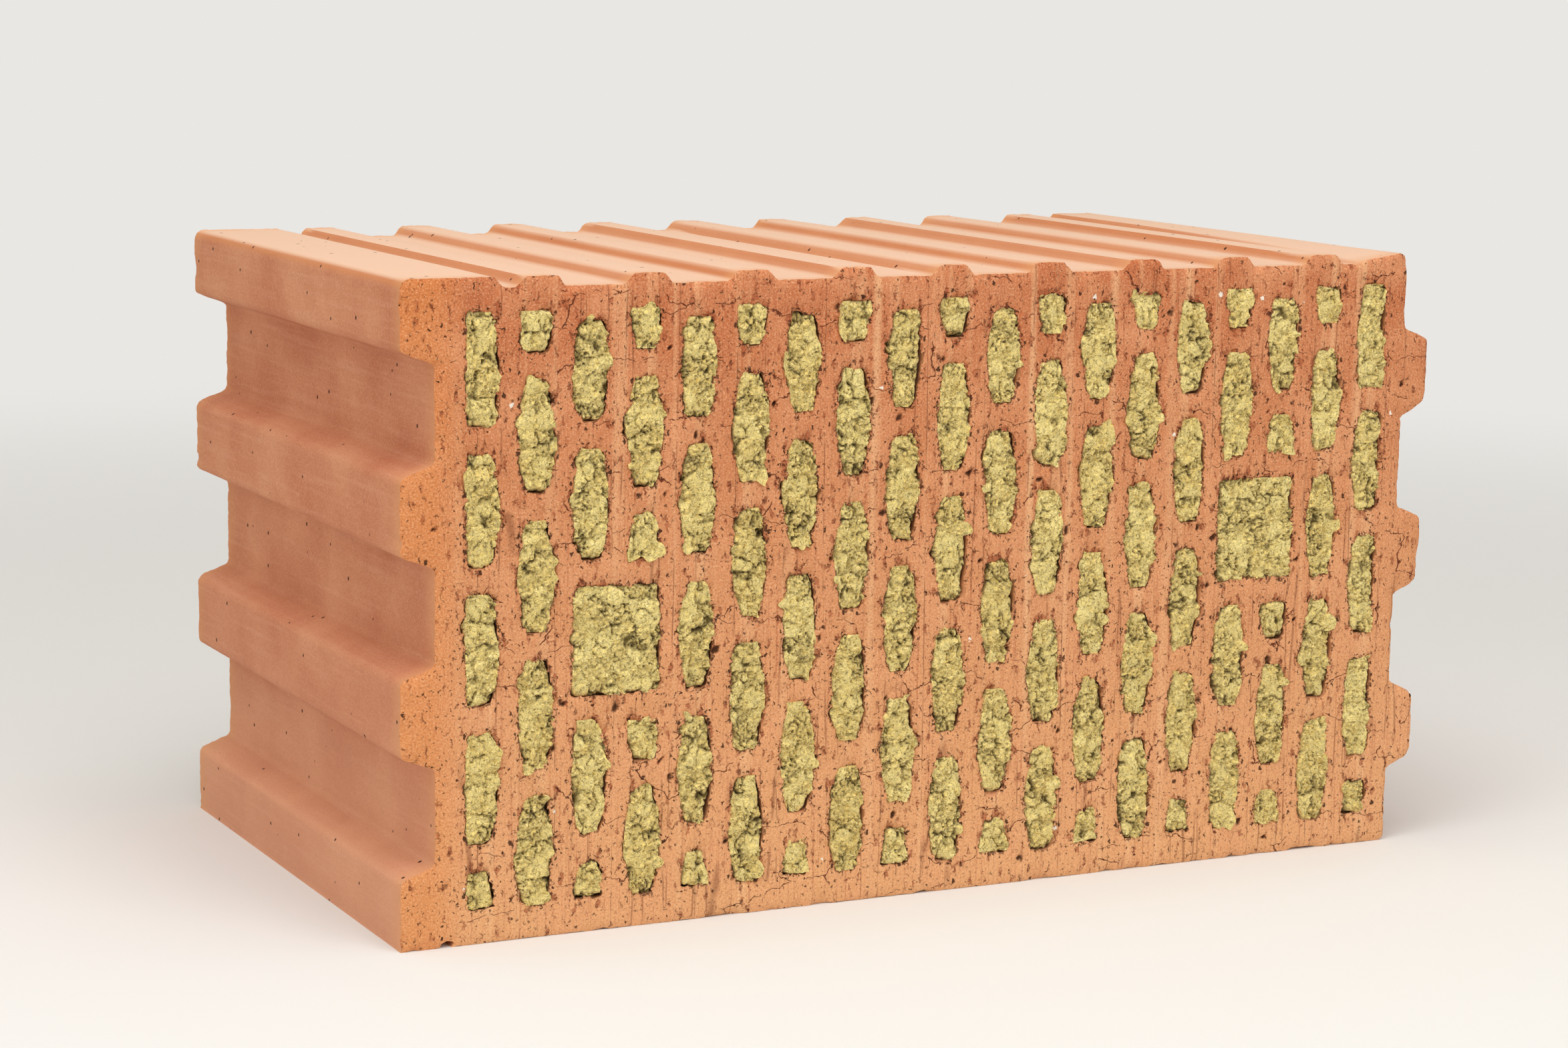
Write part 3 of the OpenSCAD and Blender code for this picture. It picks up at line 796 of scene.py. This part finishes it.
tint = add(tree, "ShaderNodeMix", {0: tone, 6: colour("#f0d27c"), 7: colour("#fce694")}, **blend)
patch = add(tree, "ShaderNodeTexNoise", {"Vector": spot, "Scale": per_mm(5), "Detail": 3.0})
patch = add(tree, "ShaderNodeMapRange", {0: patch, 1: 0.4, 2: 0.7, 4: 0.5})
tint = add(tree, "ShaderNodeMix", {0: patch, 6: tint, 7: colour("#dcbf66")}, **blend)
pale = add(tree, "ShaderNodeMath", {0: fibre, 1: 0.3}, operation="MULTIPLY")
tint = add(tree, "ShaderNodeMix", {0: pale, 6: tint, 7: colour("#fff6bf")}, **blend)
# Fine dark specks: painted shade in the small gaps between fibres, also sunk in the bump.
gap_speckle = {"Vector": curled, "Scale": per_mm(1.1), "Detail": 3.0, "Roughness": 0.7}
gap_speckle = add(tree, "ShaderNodeTexNoise", gap_speckle)
gap_speckle = add(tree, "ShaderNodeMapRange", {0: gap_speckle, 1: 0.45, 2: 0.33, 4: 0.85})
tint = add(tree, "ShaderNodeMix", {0: gap_speckle, 6: tint, 7: colour("#8b7230")}, **blend)
# Painted shade in the crevices, by the crevice share.
shaded = add(tree, "ShaderNodeMapRange", {0: crevice, 1: 0.3, 2: 0.95, 4: 0.92})
tint = add(tree, "ShaderNodeMix", {0: shaded, 6: tint, 7: colour("#5f4b18")}, **blend)
relief = add(tree, "ShaderNodeMath", {0: gap_speckle, 1: -0.8, 2: fibre}, operation="MULTIPLY_ADD")
bump = add(tree, "ShaderNodeBump", {"Height": relief, "Distance": 0.45 * mm, "Strength": 1.0})
surface = {"Base Color": tint, "Roughness": 1.0, "Specular IOR Level": 0.15, "Normal": bump}
surface = add(tree, "ShaderNodeBsdfPrincipled", {**surface, "Sheen Weight": 0.1})
add(tree, "ShaderNodeOutputMaterial", {"Surface": surface}, out=None)

for wool_node in sorted(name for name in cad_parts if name.startswith("wool_")):
    start, _, loop = cut_face(wool_node)
    wool_points, wool_quads, crevices, tones = [], [], [], []
    made_points = 0
    for number in np.unique(loop):
        cell = start[loop == number]
        seed = int(np.rint(cell.mean(axis=0) @ (7, 13)))
        new_points, new_quads, new_crevices, new_tones = tuft(cell, seed)
        wool_points.append(new_points)
        wool_quads.append(new_quads + made_points)
        crevices.append(new_crevices)
        tones.append(new_tones)
        made_points += len(new_points)
    felt_name = wool_node.replace("wool_", "felt_")
    wool = build(felt_name, np.concatenate(wool_points), np.concatenate(wool_quads))
    paint(wool, "crevice", np.concatenate(crevices))
    paint(wool, "tone", np.concatenate(tones))
    wool.data.materials.append(wool_felt)
    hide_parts(wool_node)
    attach(wool, "root")

# Studio
# A pale round floor that bends up into a wall all the way round, one broad soft lamp overhead, a fill
# from the left and one from the front, and a plain pale surround. Away from the brick the floor shows its
# own pale colour to the camera.
floor_middle = 0.9
floor_flat = 2.2
floor_bend = 1.4
floor_top = 2.6
floor_sides = 64
bend = np.linspace(0, math.pi / 2, 15)
floor_edge = floor_flat + floor_bend
profile_r = np.concatenate([[floor_middle], floor_flat + floor_bend * np.sin(bend), [floor_edge]])
profile_z = np.concatenate([[0.0], floor_bend * (1 - np.cos(bend)), [floor_top]])
turn = 2 * math.pi * np.arange(floor_sides)[:, None] / floor_sides
dish_z = np.broadcast_to(profile_z, (floor_sides, profile_z.size))
dish_points = np.stack((np.cos(turn) * profile_r, np.sin(turn) * profile_r, dish_z), axis=-1)
dish_points = dish_points.reshape(-1, 3)
dish_number = np.arange(floor_sides * profile_r.size).reshape(floor_sides, -1)
dish_round = np.concatenate([dish_number, dish_number[:1]])
floor = build("floor", dish_points / mm, dish_number[None, :, 0], grid_quads(dish_round)[:, ::-1])
floor_paper, tree = new_material("pale_backdrop_paper")
paper = add(tree, "ShaderNodeBsdfDiffuse", {"Color": colour("#e4e2de"), "Roughness": 0.0})
glow = add(tree, "ShaderNodeEmission", {"Color": colour("#e9e7e3"), "Strength": 1.0})
seen = add(tree, "ShaderNodeLightPath").node.outputs
direct = {0: seen["Is Camera Ray"], 1: seen["Is Glossy Ray"]}
direct = add(tree, "ShaderNodeMath", direct, operation="MAXIMUM")
direct = add(tree, "ShaderNodeMath", {0: direct, 1: seen["Is Transmission Ray"]}, operation="MAXIMUM")
spot = add(tree, "ShaderNodeTexCoord", out="Object")
away = add(tree, "ShaderNodeVectorMath", {0: spot}, out="Value", operation="LENGTH")
far = add(tree, "ShaderNodeMapRange", {0: away, 1: 0.35, 2: 1.7}, interpolation_type="SMOOTHSTEP")
far = add(tree, "ShaderNodeMath", {0: far, 1: direct}, operation="MULTIPLY")
surface = add(tree, "ShaderNodeMixShader", {0: far, 1: paper, 2: glow})
add(tree, "ShaderNodeOutputMaterial", {"Surface": surface}, out=None)
floor.data.materials.append(floor_paper)

brick_middle = Vector((0.0, 0.0, 0.12))
for lamp_name, place, width, power in (
    ("lamp_overhead", (-0.3, -0.5, 1.7), 1.6, 23.0),
    ("lamp_left", (-1.9, -0.9, 1.0), 1.2, 10.0),
    ("lamp_front", (0.9, -2.2, 1.1), 1.4, 18.0),
):
    lamp_data = bpy.data.lights.new(lamp_name, "AREA")
    lamp_data.shape = "SQUARE"
    lamp_data.size = width
    lamp_data.energy = power
    lamp = bpy.data.objects.new(lamp_name, lamp_data)
    lamp.location = place
    lamp.rotation_euler = (brick_middle - lamp.location).to_track_quat("-Z", "Y").to_euler()
    bpy.context.collection.objects.link(lamp)
world = bpy.data.worlds.new("studio")
world.use_nodes = True
world.node_tree.nodes["Background"].inputs["Color"].default_value = colour("#f4f2ee")
world.node_tree.nodes["Background"].inputs["Strength"].default_value = 0.5
bpy.context.scene.world = world
